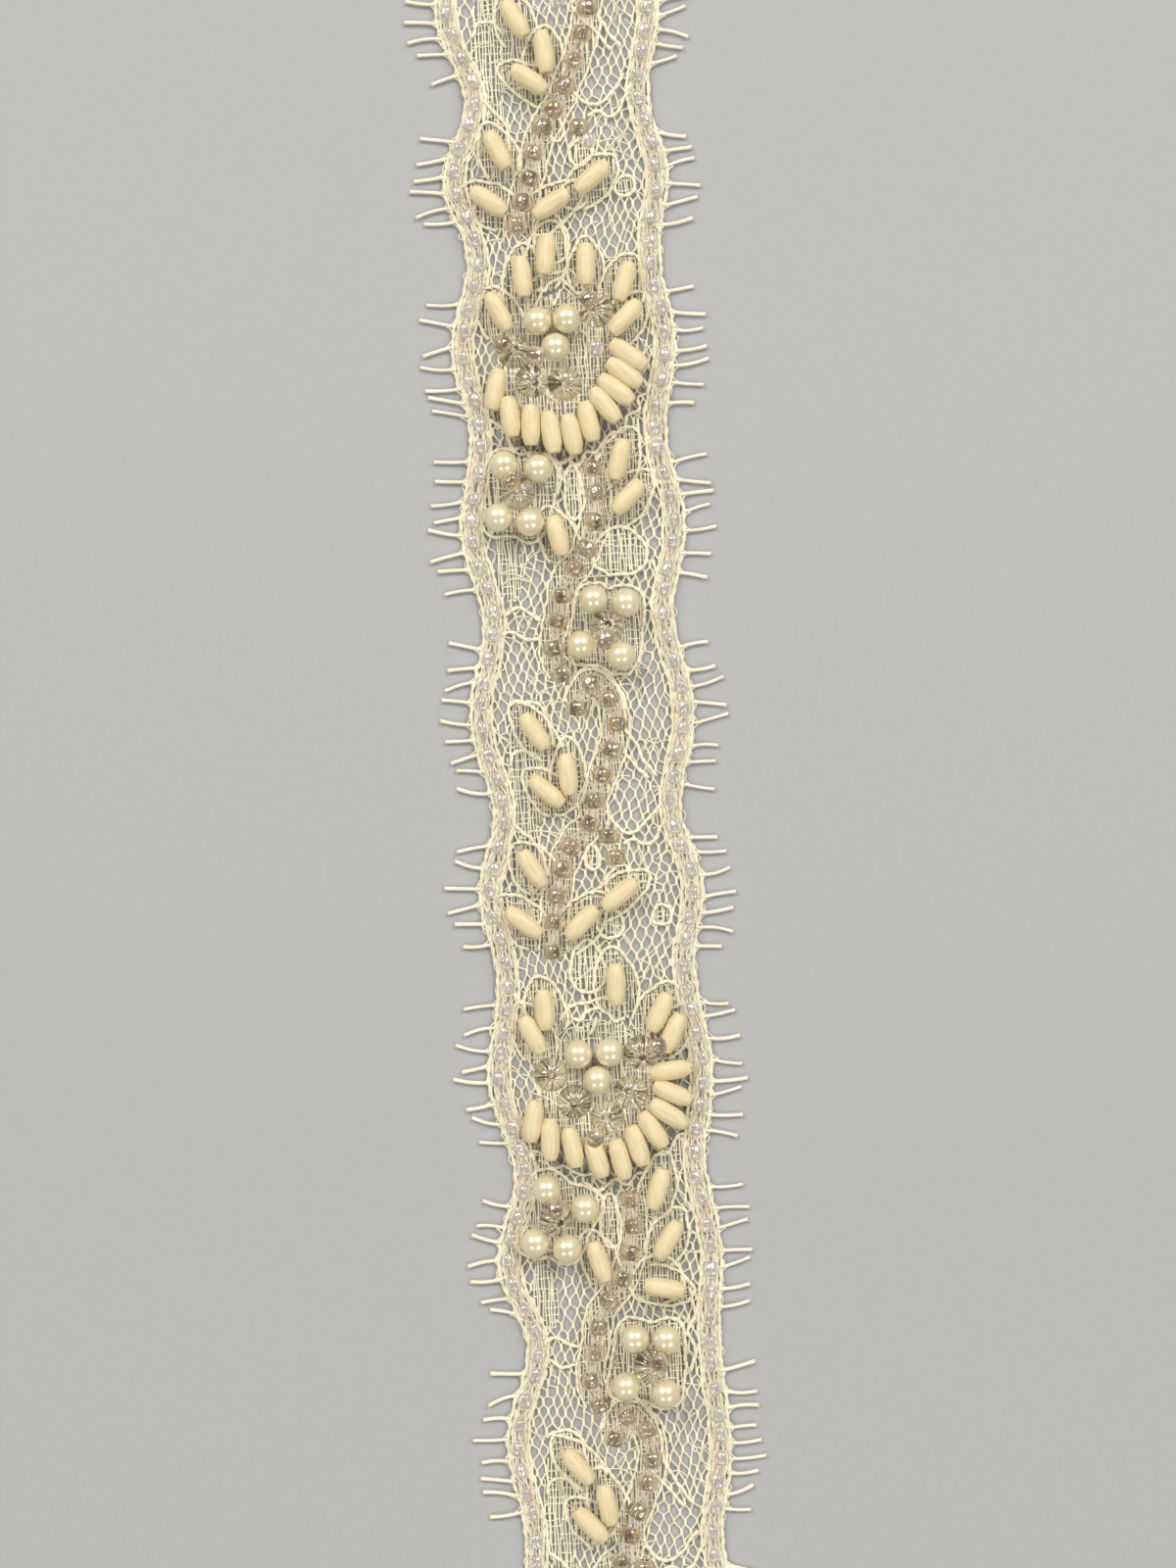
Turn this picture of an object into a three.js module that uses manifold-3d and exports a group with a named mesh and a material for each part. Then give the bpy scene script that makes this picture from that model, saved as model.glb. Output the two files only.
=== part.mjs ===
// Beaded lace edging: a cut length of ivory lace with a scalloped outline and an eyelash fringe on both
// edges, sewn with strings of seed beads, oat beads for leaves and petals, pearls and crystals.
// Millimetres. X runs across the edging, Y along it, and Z up from its back, which lies flat at Z = 0.
import * as THREE from "three";
import { mergeVertices } from "three/addons/utils/BufferGeometryUtils.js";
import Module from "manifold-3d";

const wasm = await Module();
wasm.setup();

// Driving dimensions of the lace.
const LENGTH = 230; // the cut length
const REPEAT = 104; // from one rosette to the next
const FIRST_ROSETTE = 60; // the upper rosette's place along the length
const LACE_THICK = 1;
const OUTLINE_STEP = 2.875;
const BULGE = { left: 16.4, right: 15.8 }; // half widths at the middle of a scallop
const GAP = 0.3; // between pieces that are sewn against each other

// Where the scalloped edges draw in, with each edge's half width there.
const HOLLOWS = [
  { along: -134, left: 13.6, right: 14.0 },
  { along: -108, left: 14.5, right: 13.9 },
  { along: -80, left: 12.8, right: 15.0 },
  { along: -55, left: 13.4, right: 14.1 },
  { along: -27, left: 14.5, right: 14.1 },
  { along: -4, left: 13.8, right: 13.2 },
  { along: 24, left: 13.9, right: 13.6 },
  { along: 50, left: 14.5, right: 13.8 },
  { along: 75, left: 13.5, right: 14.2 },
  { along: 98, left: 12.8, right: 13.7 },
  { along: 124, left: 13.6, right: 14.0 },
];

// Driving dimensions of the fringe, cut ends of thread along a narrow selvedge.
const SELVEDGE_WIDTH = 0.8;
const FRINGE_THICK = 0.8;
const STRAND_WIDTH = 0.6;
const STRAND_LENGTH = 4.3;
const STRAND_LENGTH_VARIES = 0.7;
const STRAND_PITCH = 2.6;
const STRAND_PITCH_VARIES = 0.7;
const STRAND_LEAN = 1.3; // the most that a tip lies up or down the edge from its root
const TIP_CLEAR = 0.35; // between neighbouring tips
const HOLLOW_BARE = 3; // the fringe is missing this near to a hollow

// Driving dimensions of the beads.
const PEARL = { radius: 2.05, hole: 0.45, sides: 8, spans: 5 };
const CRYSTAL = { radius: 2.25, hole: 0.5, sides: 8, table: 1.85, bevelRadius: 1.75, bevelHeight: 1.1 };
const OAT = { radius: 1.4, end: 0.85, length: 6, sides: 6, shoulder: 1.0 };
const EDGE_SEED = { radius: 1.1, length: 2.0, shoulder: 0.45, pitch: 3.4, sides: 4 };
const VINE_SEED = { radius: 1.48, length: 2.5, shoulder: 0.55, pitch: 3.75, sides: 6 };
const THREAD_RADIUS = 0.3;
const THREAD_SIDES = 4;
const VINE_SAMPLES = 4; // points of a vine's curve for each charted one
const WELD = 1e-4; // points this close are one
const EDGE_SEED_INSET = 1.7; // from the lace's outermost thread to the middle of the edge beads
const STRING_MARGIN = 1.5; // a string of beads stops this far from a cut end
const BEAD_FLOOR = LACE_THICK + GAP; // the underside of every bead

// The beading, charted about each repeat's rosette: across from the middle of the lace, along from the
// rosette's centre, and turn in degrees from +X to the bead's outer end. It is sewn by hand, so a list
// holds the value in each repeat from the upper one down. A row with "only" belongs to that one repeat.
const FAN = [
  { across: [-10.3, -10.2], along: [-3.4, -3.4], turn: [257, 262] },
  { across: [-8.4, -7.9], along: [-7.4, -6.1], turn: [272, 270] },
  { across: [-5.55, -4.8], along: [-8.7, -7.4], turn: [268, 281] },
  { across: [-2.7, -1.4], along: [-9.9, -9.1], turn: [279, 287] },
  { across: [0.2, 1.9], along: [-10.3, -9.4], turn: [281, 283] },
  { across: [2.7, 4.4], along: [-8.6, -7.6], turn: [280, 285] },
  { across: [5.1, 6.7], along: [-6.4, -5.5], turn: [309, 300] },
  { across: [6.8, 9.0], along: [-4.3, -3.3], turn: [321, 322] },
  { across: [8.1, 9.7], along: [-2.0, -0.4], turn: [321, 336] },
  { across: [8.8, 9.6], along: [0.6, 2.8], turn: [324, 4] },
];
const CROWN = [
  { across: [8.6, 10.2], along: [5.9, 8.1], turn: [47, 61] },
  { across: [8.7, 8.5], along: [11.0, 11.1], turn: [68, 61] },
  { across: [3.4, 2.5], along: [13.7, 15.4], turn: [89, 91] },
  { across: -2.2, along: 15.4, turn: 82, only: 0 },
  { across: [-5.7, -7.8], along: [12.4, 12.3], turn: [92, 92] },
  { across: [-9.3, -9.7], along: [7.6, 8.8], turn: [116, 117] },
];
const LEAVES = {
  spray: [
    { across: [-4.9, -7.2, -6.3], along: [49.0, 51.8, 51.3], turn: [116, 121, 126] },
    { across: [-1.0, -2.8, -2.4], along: [44.1, 45.5, 45.7], turn: [98, 92, 103] },
    { across: [-3.3, -5.9, -4.9], along: [40.3, 43.2, 42.9], turn: [140, 136, 131] },
  ],
  fork_left: [
    { across: [-8.3, -8.5], along: [30.5, 32.4], turn: [113, 121] },
    { across: [-9.9, -10.1], along: [23.3, 24.8], turn: [145, 140] },
  ],
  fork_right: [
    { across: [-1.1, -1.9], along: [22.5, 24.4], turn: [32, 44] },
    { across: [4.9, 3.7], along: [26.0, 28.1], turn: [37, 36] },
  ],
  bud_right: [
    { across: [6.7, 7.0], along: [-14.2, -13.9], turn: [73, 71] },
    { across: [7.7, 8.1], along: [-19.6, -21.2], turn: [43, 57] },
    { across: 7.2, along: -28.0, turn: -12, only: 1 },
  ],
  bud_left: [{ across: [-2.5, -1.8], along: [-24.6, -23.8], turn: [106, 104] }],
};
const ROSETTE_PEARLS = [
  { across: [-3.85, -3.35], along: [5.9, 5.8] },
  { across: [0.3, 1.15], along: [6.0, 5.85] },
  { across: [-1.5, -0.8], along: [2.05, 2.0] },
];
const ROSETTE_CRYSTALS = [
  { across: [4.6, 5.5], along: [7.0, 5.7] },
  { across: [-7.4, -7.3], along: [1.8, 3.1] },
  { across: [-5.0, -4.2], along: [-2.5, -0.9] },
  { across: [-0.4, 0.3], along: [-3.1, -3.45] },
  { across: 3.8, along: 0.0, only: 1 },
];
const FLOWERS = [
  { across: [-7.8, -7.7], along: [-18.3, -17.4], petals: [[48, 114, 228, 289], [18, 104, 226, 288]] },
  { across: [3.8, 4.6], along: [-38.0, -38.9], petals: [[50, 113, 211, 294], [55, 116, 217, 297]] },
];
const FLOWER_RADIUS = 4.45; // from a flower's crystal to its pearls
const VINE = {
  stem: [
    { across: 3.0, along: -15.2 },
    { across: 3.2, along: -18.2 },
    { across: 3.1, along: -21.6 },
    { across: 2.1, along: -25.1 },
    { across: 0.5, along: -28.2 },
    { across: -1.9, along: -31.0 },
    { across: -2.6, along: -34.0 },
    { across: -3.3, along: -37.1 },
    { across: -3.9, along: -40.7 },
    { across: -2.8, along: -44.2 },
  ],
  hook: [
    { across: -1.1, along: -49.0 },
    { across: -0.3, along: -46.9 },
    { across: 1.4, along: -45.7 },
    { across: 3.2, along: -47.2 },
    { across: 4.2, along: -49.6 },
    { across: 4.3, along: -52.2 },
    { across: 3.7, along: -55.2 },
    { across: 2.2, along: -58.8 },
    { across: 0.7, along: -62.2 },
    { across: 0.4, along: -65.2 },
    { across: -2.4, along: -68.0 },
    { across: -4.0, along: -71.2 },
    { across: -5.2, along: -75.8 },
    { across: -5.8, along: -79.6 },
    { across: -6.2, along: -83.6 },
  ],
  // The hook of the repeat above, of which the cut length holds the lower part.
  upper_hook: [
    { across: 5.7, along: -50.8 },
    { across: 5.4, along: -53.6 },
    { across: 4.8, along: -57.0 },
    { across: 3.7, along: -60.3 },
    { across: 2.4, along: -63.0 },
    { across: 1.2, along: -66.0 },
    { across: -0.9, along: -69.1 },
    { across: -2.8, along: -72.9 },
    { across: -3.7, along: -76.5 },
    { across: -4.9, along: -79.8 },
    { across: -6.4, along: -84.0 },
  ],
};

const SURFACES = {
  lace: { color: 0xeadfc2, roughness: 0.9, metalness: 0 },
  oat: { color: 0xe6d3a6, roughness: 0.6, metalness: 0 },
  pearl: { color: 0xeae0c4, roughness: 0.25, metalness: 0 },
  crystal: { color: 0xd8d6cc, roughness: 0.05, metalness: 0 },
  edgeSeed: { color: 0xd9d3d2, roughness: 0.1, metalness: 0 },
  vineSeed: { color: 0xa89684, roughness: 0.1, metalness: 0 },
};

// A number from -1 to 1 that looks random and is the same each time for the same place and use.
function uneven(place, use) {
  const wave = Math.sin(place * 12.9898 + use * 78.233) * 43758.5453;
  return 2 * (wave - Math.floor(wave)) - 1;
}

function namedMesh(name, geometry, surface) {
  const mesh = new THREE.Mesh(geometry, new THREE.MeshStandardMaterial(SURFACES[surface]));
  mesh.name = name;
  return mesh;
}

// The lace's outline.

// The half width of one edge, swelling as a smooth wave from each hollow to the next.
function halfWidth(along, edge) {
  const next = HOLLOWS.findIndex((hollow) => hollow.along > along);
  const [low, high] = [HOLLOWS[next - 1], HOLLOWS[next]];
  const share = (along - low.along) / (high.along - low.along);
  const drawnIn = THREE.MathUtils.lerp(low[edge], high[edge], share);
  return drawnIn + (BULGE[edge] - drawnIn) * Math.sin(Math.PI * share) ** 2;
}

function edgePoint(along, edge, inset) {
  const side = edge === "left" ? -1 : 1;
  return new THREE.Vector2(side * (halfWidth(along, edge) - inset), along);
}

function edgeLine(edge, inset, margin = 0) {
  const steps = Math.round(LENGTH / OUTLINE_STEP);
  const low = margin - LENGTH / 2;
  const run = LENGTH - 2 * margin;
  return Array.from({ length: steps + 1 }, (_, i) => edgePoint(low + (run * i) / steps, edge, inset));
}

function slab(outline, thickness) {
  return new THREE.ExtrudeGeometry(new THREE.Shape(outline), { depth: thickness, bevelEnabled: false });
}

function laceBand() {
  const inset = SELVEDGE_WIDTH + GAP;
  const outline = [...edgeLine("right", inset), ...edgeLine("left", inset).reverse()];
  return namedMesh("lace_band", slab(outline, LACE_THICK), "lace");
}

// The eyelash fringe.

function nearHollow(along) {
  return HOLLOWS.some((hollow) => Math.abs(hollow.along - along) < HOLLOW_BARE);
}

// Each strand's root and tip along the edge and its length, from the low end up.
function strands(edge) {
  const use = edge === "left" ? 1 : 2;
  const rows = [];
  let root = STRAND_PITCH - LENGTH / 2;
  for (let i = 0; root < LENGTH / 2 - STRAND_PITCH; i += 1) {
    const lastTip = rows.length ? rows[rows.length - 1].tip : -LENGTH;
    const tip = Math.max(root + STRAND_LEAN * uneven(i, use), lastTip + STRAND_WIDTH + TIP_CLEAR);
    const length = STRAND_LENGTH + STRAND_LENGTH_VARIES * uneven(i, use + 2);
    if (!nearHollow(root)) rows.push({ root, tip, length });
    root += STRAND_PITCH + STRAND_PITCH_VARIES * uneven(i, use + 4);
  }
  return rows;
}

// The four corners of a strand that lies level on the surface.
function strandCorners({ root, tip, length }, edge) {
  const half = STRAND_WIDTH / 2;
  const end = edgePoint(root, edge, -length);
  return [
    edgePoint(root - half, edge, 0),
    new THREE.Vector2(end.x, tip - half),
    new THREE.Vector2(end.x, tip + half),
    edgePoint(root + half, edge, 0),
  ];
}

function fringe(edge) {
  const ends = [-LENGTH / 2, LENGTH / 2].map((along) => edgePoint(along, edge, 0));
  const outer = strands(edge).flatMap((strand) => strandCorners(strand, edge));
  const inner = edgeLine(edge, SELVEDGE_WIDTH).reverse();
  const outline = [ends[0], ...outer, ends[1], ...inner];
  return namedMesh("fringe_" + edge, slab(outline, FRINGE_THICK), "lace");
}

// Strings of seed beads.

// A straight string, turned as one profile about Y: a thread that swells into a bead at each pitch.
function straightString(seed, length) {
  const beads = Math.floor((length - seed.length) / seed.pitch) + 1;
  const first = (length - (beads - 1) * seed.pitch - seed.length) / 2;
  const profile = [new THREE.Vector2(0, 0), new THREE.Vector2(THREAD_RADIUS, 0)];
  for (let i = 0; i < beads; i += 1) {
    const low = first + i * seed.pitch;
    profile.push(new THREE.Vector2(THREAD_RADIUS, low));
    profile.push(new THREE.Vector2(seed.radius, low + seed.shoulder));
    profile.push(new THREE.Vector2(seed.radius, low + seed.length - seed.shoulder));
    profile.push(new THREE.Vector2(THREAD_RADIUS, low + seed.length));
  }
  profile.push(new THREE.Vector2(THREAD_RADIUS, length), new THREE.Vector2(0, length));
  return new THREE.LatheGeometry(profile, seed.sides);
}

// The straight string bent along a level path, each point carried by the path's own frame.
function beadString(name, points, seed, surface) {
  const height = BEAD_FLOOR + seed.radius;
  const path = new THREE.CatmullRomCurve3(points.map((p) => new THREE.Vector3(p.x, p.y, height)));
  const length = path.getLength();
  const geometry = straightString(seed, length);
  const position = geometry.getAttribute("position");
  for (let i = 0; i < position.count; i += 1) {
    const share = THREE.MathUtils.clamp(position.getY(i) / length, 0, 1);
    const centre = path.getPointAt(share);
    const along = path.getTangentAt(share);
    const [across, up] = [position.getX(i), position.getZ(i)];
    position.setXYZ(i, centre.x + along.y * across, centre.y - along.x * across, centre.z + up);
  }
  return namedMesh(name, geometry, surface);
}

function edgeBeads(edge) {
  const points = edgeLine(edge, EDGE_SEED_INSET, STRING_MARGIN);
  return beadString("edge_beads_" + edge, points, EDGE_SEED, "edgeSeed");
}

// The stretch of a charted vine that lies inside the cut length, as points along its smooth curve.
function vinePoints(rows, rosetteAlong) {
  const reach = LENGTH / 2 - STRING_MARGIN;
  const curve = new THREE.CatmullRomCurve3(rows.map((row) => new THREE.Vector3(row.across, row.along, 0)));
  const samples = curve.getSpacedPoints(VINE_SAMPLES * rows.length);
  return samples.filter((point) => Math.abs(point.y + rosetteAlong) < reach);
}

// Single beads.

// A drilled pearl: half a circle from one mouth of its hole to the other, closed along the hole.
function pearlGeometry() {
  const mouth = Math.asin(PEARL.hole / PEARL.radius);
  const profile = Array.from({ length: PEARL.spans + 1 }, (_, i) => {
    const angle = mouth + ((Math.PI - 2 * mouth) * i) / PEARL.spans;
    return new THREE.Vector2(PEARL.radius * Math.sin(angle), -PEARL.radius * Math.cos(angle));
  });
  return new THREE.LatheGeometry([...profile, profile[0]], PEARL.sides);
}

// A drilled crystal that lies with its hole upright, with a facet between each two corners of its profile.
function crystalGeometry() {
  const { radius, hole, sides, table, bevelRadius, bevelHeight } = CRYSTAL;
  const profile = [
    new THREE.Vector2(hole, -table),
    new THREE.Vector2(bevelRadius, -bevelHeight),
    new THREE.Vector2(radius, 0),
    new THREE.Vector2(bevelRadius, bevelHeight),
    new THREE.Vector2(hole, table),
  ];
  return new THREE.LatheGeometry([...profile, profile[0]], sides).rotateX(Math.PI / 2);
}

// A blunt-ended oat bead along Y.
function oatGeometry() {
  const half = OAT.length / 2;
  const profile = [
    new THREE.Vector2(0, -half),
    new THREE.Vector2(OAT.end, -half),
    new THREE.Vector2(OAT.radius, -OAT.shoulder),
    new THREE.Vector2(OAT.radius, OAT.shoulder),
    new THREE.Vector2(OAT.end, half),
    new THREE.Vector2(0, half),
  ];
  return new THREE.LatheGeometry(profile, OAT.sides);
}

function placedBead(name, geometry, surface, halfHeight, row) {
  const mesh = namedMesh(name, geometry, surface);
  mesh.position.set(row.across, row.along, BEAD_FLOOR + halfHeight);
  mesh.rotation.z = THREE.MathUtils.degToRad(row.turn ?? 0);
  return mesh;
}

// Oat beads sewn on one thread.

function solidOf(geometry) {
  const bare = new THREE.BufferGeometry().setAttribute("position", geometry.getAttribute("position"));
  if (geometry.index) bare.setIndex(geometry.index);
  const merged = mergeVertices(bare, WELD);
  const vertProperties = merged.getAttribute("position").array;
  const triVerts = new Uint32Array(merged.index.array);
  return new wasm.Manifold(new wasm.Mesh({ numProp: 3, vertProperties, triVerts }));
}

function geometryOf(solid) {
  const { vertProperties, triVerts } = solid.getMesh();
  return new THREE.BufferGeometry()
    .setAttribute("position", new THREE.BufferAttribute(vertProperties, 3))
    .setIndex(new THREE.BufferAttribute(triVerts, 1));
}

const OAT_HEIGHT = BEAD_FLOOR + OAT.radius;

function placedOat(row) {
  const quarterTurn = Math.PI / 2;
  return solidOf(
    oatGeometry()
      .rotateZ(THREE.MathUtils.degToRad(row.turn) - quarterTurn)
      .translate(row.across, row.along, OAT_HEIGHT),
  );
}

// Where the thread leaves a bead, a little inside its inner end.
function rootOf(row) {
  const reach = OAT.length / 2 - OAT.end;
  const turn = THREE.MathUtils.degToRad(row.turn);
  return new THREE.Vector2(row.across - reach * Math.cos(turn), row.along - reach * Math.sin(turn));
}

function threadBetween(from, to) {
  const run = to.clone().sub(from);
  const middle = from.clone().lerp(to, 0.5);
  return solidOf(
    new THREE.CylinderGeometry(THREAD_RADIUS, THREAD_RADIUS, run.length(), THREAD_SIDES)
      .rotateZ(run.angle() - Math.PI / 2)
      .translate(middle.x, middle.y, OAT_HEIGHT),
  );
}

// Beads in order along their thread, fused with it where it passes through them.
function threadedOats(name, rows) {
  const roots = rows.map(rootOf);
  const threads = roots.slice(1).map((root, i) => threadBetween(roots[i], root));
  const joined = [...rows.map(placedOat), ...threads].reduce((whole, piece) => whole.add(piece));
  return namedMesh(name, geometryOf(joined), "oat");
}

// Whole motifs.

function valueInRepeat(value, index) {
  return Array.isArray(value) ? value[index] : value;
}

// The chart's rows that one repeat has, with its own values.
function rowsInRepeat(chart, index) {
  const rows = chart.filter((row) => (row.only ?? index) === index);
  return rows.map((row) => {
    const values = Object.entries(row).map(([column, value]) => [column, valueInRepeat(value, index)]);
    return Object.fromEntries(values);
  });
}

function flowerPearls(flower) {
  return flower.petals.map((turn) => {
    const angle = THREE.MathUtils.degToRad(turn);
    return {
      across: flower.across + FLOWER_RADIUS * Math.cos(angle),
      along: flower.along + FLOWER_RADIUS * Math.sin(angle),
      turn,
    };
  });
}

const counts = { pearl: 0, crystal: 0 };

function numbered(kind) {
  counts[kind] += 1;
  return kind + "_" + String(counts[kind]).padStart(2, "0");
}

function pearl(row) {
  return placedBead(numbered("pearl"), pearlGeometry(), "pearl", PEARL.radius, row);
}

function crystal(row) {
  return placedBead(numbered("crystal"), crystalGeometry(), "crystal", CRYSTAL.table, row);
}

function rosette(index) {
  return [
    threadedOats("petals_" + index, rowsInRepeat([...FAN, ...CROWN], index)),
    ...rowsInRepeat(ROSETTE_PEARLS, index).map(pearl),
    ...rowsInRepeat(ROSETTE_CRYSTALS, index).map(crystal),
  ];
}

function leaves(kinds, index) {
  return kinds.map((kind) => threadedOats(kind + "_" + index, rowsInRepeat(LEAVES[kind], index)));
}

function vine(name, kind, rosetteAlong) {
  return beadString("vine_" + name, vinePoints(VINE[kind], rosetteAlong), VINE_SEED, "vineSeed");
}

function flowers(index) {
  const rows = rowsInRepeat(FLOWERS, index);
  return rows.flatMap((flower) => [...flowerPearls(flower).map(pearl), crystal(flower)]);
}

// The repeat whose rosette is at a place along the length, with the motifs that fall on the cut length.
function repeatGroup(index, motifs) {
  const group = new THREE.Group();
  group.position.y = FIRST_ROSETTE - index * REPEAT;
  group.add(...motifs(index, group.position.y));
  return group;
}

function wholeRepeat(index, along) {
  return [
    ...rosette(index),
    ...flowers(index),
    ...leaves(Object.keys(LEAVES), index),
    ...["stem", "hook"].map((kind) => vine(kind + "_" + index, kind, along)),
  ];
}

const edging = new THREE.Group();
edging.add(laceBand(), fringe("left"), fringe("right"), edgeBeads("left"), edgeBeads("right"));
edging.add(repeatGroup(-1, (index, along) => [vine("hook_top", "upper_hook", along)]));
edging.add(repeatGroup(0, wholeRepeat), repeatGroup(1, wholeRepeat));
edging.add(repeatGroup(2, (index) => leaves(["spray"], index)));

export default edging;
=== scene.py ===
import math

import bpy
import numpy as np
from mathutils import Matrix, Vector


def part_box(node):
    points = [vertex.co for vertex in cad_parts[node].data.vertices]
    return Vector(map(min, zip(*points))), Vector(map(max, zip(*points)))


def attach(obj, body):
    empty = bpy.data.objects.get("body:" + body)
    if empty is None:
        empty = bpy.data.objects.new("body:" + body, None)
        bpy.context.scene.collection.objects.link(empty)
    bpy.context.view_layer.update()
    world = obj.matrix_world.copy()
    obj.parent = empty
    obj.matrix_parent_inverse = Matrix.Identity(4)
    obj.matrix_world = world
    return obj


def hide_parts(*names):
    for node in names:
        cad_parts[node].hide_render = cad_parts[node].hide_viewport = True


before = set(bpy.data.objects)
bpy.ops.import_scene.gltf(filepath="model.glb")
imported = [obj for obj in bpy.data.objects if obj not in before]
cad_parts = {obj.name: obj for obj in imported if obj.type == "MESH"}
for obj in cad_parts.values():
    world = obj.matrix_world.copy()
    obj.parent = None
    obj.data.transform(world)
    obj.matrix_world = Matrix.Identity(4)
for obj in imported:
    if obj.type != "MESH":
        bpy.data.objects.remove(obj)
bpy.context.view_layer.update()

# Sizes are in millimetres, as in the part's source. Meshes are made in metres.
MM = 0.001
UP = np.array((0.0, 0.0, 1.0))
LENGTH = 230.0
REPEAT = 104.0
FIRST_ROSETTE = 60.0
ROSETTES = {index: FIRST_ROSETTE - index * REPEAT for index in (-1, 0, 1, 2)}

# The lace's outline: each hollow's place along the length and the half widths left and right there.
SIDES = {"left": -1.0, "right": 1.0}
BULGE = {"left": 16.4, "right": 15.8}
HOLLOWS = np.array([
    (-134, 13.6, 14.0), (-108, 14.5, 13.9), (-80, 12.8, 15.0), (-55, 13.4, 14.1), (-27, 14.5, 14.1),
    (-4, 13.8, 13.2), (24, 13.9, 13.6), (50, 14.5, 13.8), (75, 13.5, 14.2), (98, 12.8, 13.7),
    (124, 13.6, 14.0),
])

# The eyelash fringe.
STRAND_WIDTH = 0.6
STRAND_LENGTH = 4.3
STRAND_LENGTH_VARIES = 0.7
STRAND_PITCH = 2.6
STRAND_PITCH_VARIES = 0.7
STRAND_LEAN = 1.3
TIP_CLEAR = 0.35
HOLLOW_BARE = 3.0
LASH_ROOT_HEIGHT = 0.6
LASH_DROP = 0.22
LASH_SINK = 0.5  # how far inside the edge a lash starts
LASH_BOW = 0.28
LASH_CURL = 1.3  # power above one: a lash leans mostly near its tip
LASH_RADII = ((0.0, 0.2, 0.85, 1.0), (0.19, 0.25, 0.27, 0.31))  # shares of its length, and its radius there
LEG_SINK = 0.35
LEG_LENGTH = 1.25
LEG_HEIGHT = 0.5
LEG_RADIUS = 0.1

# The beads, and the height of their undersides.
PEARL_RADIUS = 2.05
PEARL_HOLE = 0.3
CRYSTAL_RADIUS = 2.46
CRYSTAL_HALF_HEIGHT = 2.05
CRYSTAL_HOLE = 0.42
CRYSTAL_FLUTES = 12
FLUTE_DEPTH = 0.11
OAT_RADIUS = 1.4
OAT_HALF_LENGTH = 3.0
OAT_HOLE = 0.38
# Radius and height of an oat bead's section, from the mouth of its hole to its middle.
OAT_SECTION = [
    (OAT_HOLE, 2.96), (0.74, 3.0), (0.86, 2.95), (0.95, 2.8), (1.14, 2.3), (1.29, 1.85),
    (1.345, 1.62), (1.375, 1.4), (1.4, 0.5),
]
EDGE_SEED = {"radius": 1.1, "length": 2.0, "hole": 0.4, "pitch": 3.4}
VINE_SEED = {"radius": 1.44, "length": 2.1, "hole": 0.54, "pitch": 3.75}
STOPPER_SEED = {"radius": 1.38, "length": 2.2, "hole": 0.42}
SEED_PLUMP = 1.07  # enlarges every seed bead about its middle
SEED_BARREL = 0.6  # power that squares a seed's section: one is an ellipse, less is a barrel
SEED_STRAY = 0.16  # most that a bead strays from its place on the string
SPACING_VARIES = 0.4  # most that a bead lies before or after its even place along the string
EDGE_SEED_INSET = 1.7
STRING_MARGIN = 1.5
BEAD_FLOOR = 1.3
BEAD_SIDES = {"oat": 20, "pearl": 32, "seed": 18}

# The chart about each repeat's rosette: across, along, and the way an oat bead points, in degrees.
# The beads are sewn by hand, so a tuple holds the value in each repeat from the upper one down.
# A fourth value is the only repeat that has the bead.
FAN = [
    ((-10.3, -10.2), -3.4, (257, 262)),
    ((-8.4, -7.9), (-7.4, -6.1), (272, 270)),
    ((-5.55, -4.8), (-8.7, -7.4), (268, 281)),
    ((-2.7, -1.4), (-9.9, -9.1), (279, 287)),
    ((0.2, 1.9), (-10.3, -9.4), (281, 283)),
    ((2.7, 4.4), (-8.6, -7.6), (280, 285)),
    ((5.1, 6.7), (-6.4, -5.5), (309, 300)),
    ((6.8, 9.0), (-4.3, -3.3), (321, 322)),
    ((8.1, 9.7), (-2.0, -0.4), (321, 336)),
    ((8.8, 9.6), (0.6, 2.8), (324, 4)),
]
CROWN = [
    ((8.6, 10.2), (5.9, 8.1), (47, 61)),
    ((8.7, 8.5), (11.0, 11.1), (68, 61)),
    ((3.4, 2.5), (13.7, 15.4), (89, 91)),
    (-2.2, 15.4, 82, 0),
    ((-5.7, -7.8), (12.4, 12.3), 92),
    ((-9.3, -9.7), (7.6, 8.8), (116, 117)),
]
LEAVES = {
    "spray": [
        ((-4.9, -7.2, -6.3), (49.0, 51.8, 51.3), (116, 121, 126)),
        ((-1.0, -2.8, -2.4), (44.1, 45.5, 45.7), (98, 92, 103)),
        ((-3.3, -5.9, -4.9), (40.3, 43.2, 42.9), (140, 136, 131)),
    ],
    "fork_left": [
        ((-8.3, -8.5), (30.5, 32.4), (113, 121)),
        ((-9.9, -10.1), (23.3, 24.8), (145, 140)),
    ],
    "fork_right": [
        ((-1.1, -1.9), (22.5, 24.4), (32, 44)),
        ((4.9, 3.7), (26.0, 28.1), (37, 36)),
    ],
    "bud_right": [
        ((6.7, 7.0), (-14.2, -13.9), (73, 71)),
        ((7.7, 8.1), (-19.6, -21.2), (43, 57)),
        (7.2, -28.0, -12, 1),
    ],
    "bud_left": [((-2.5, -1.8), (-24.6, -23.8), (106, 104))],
}
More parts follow.
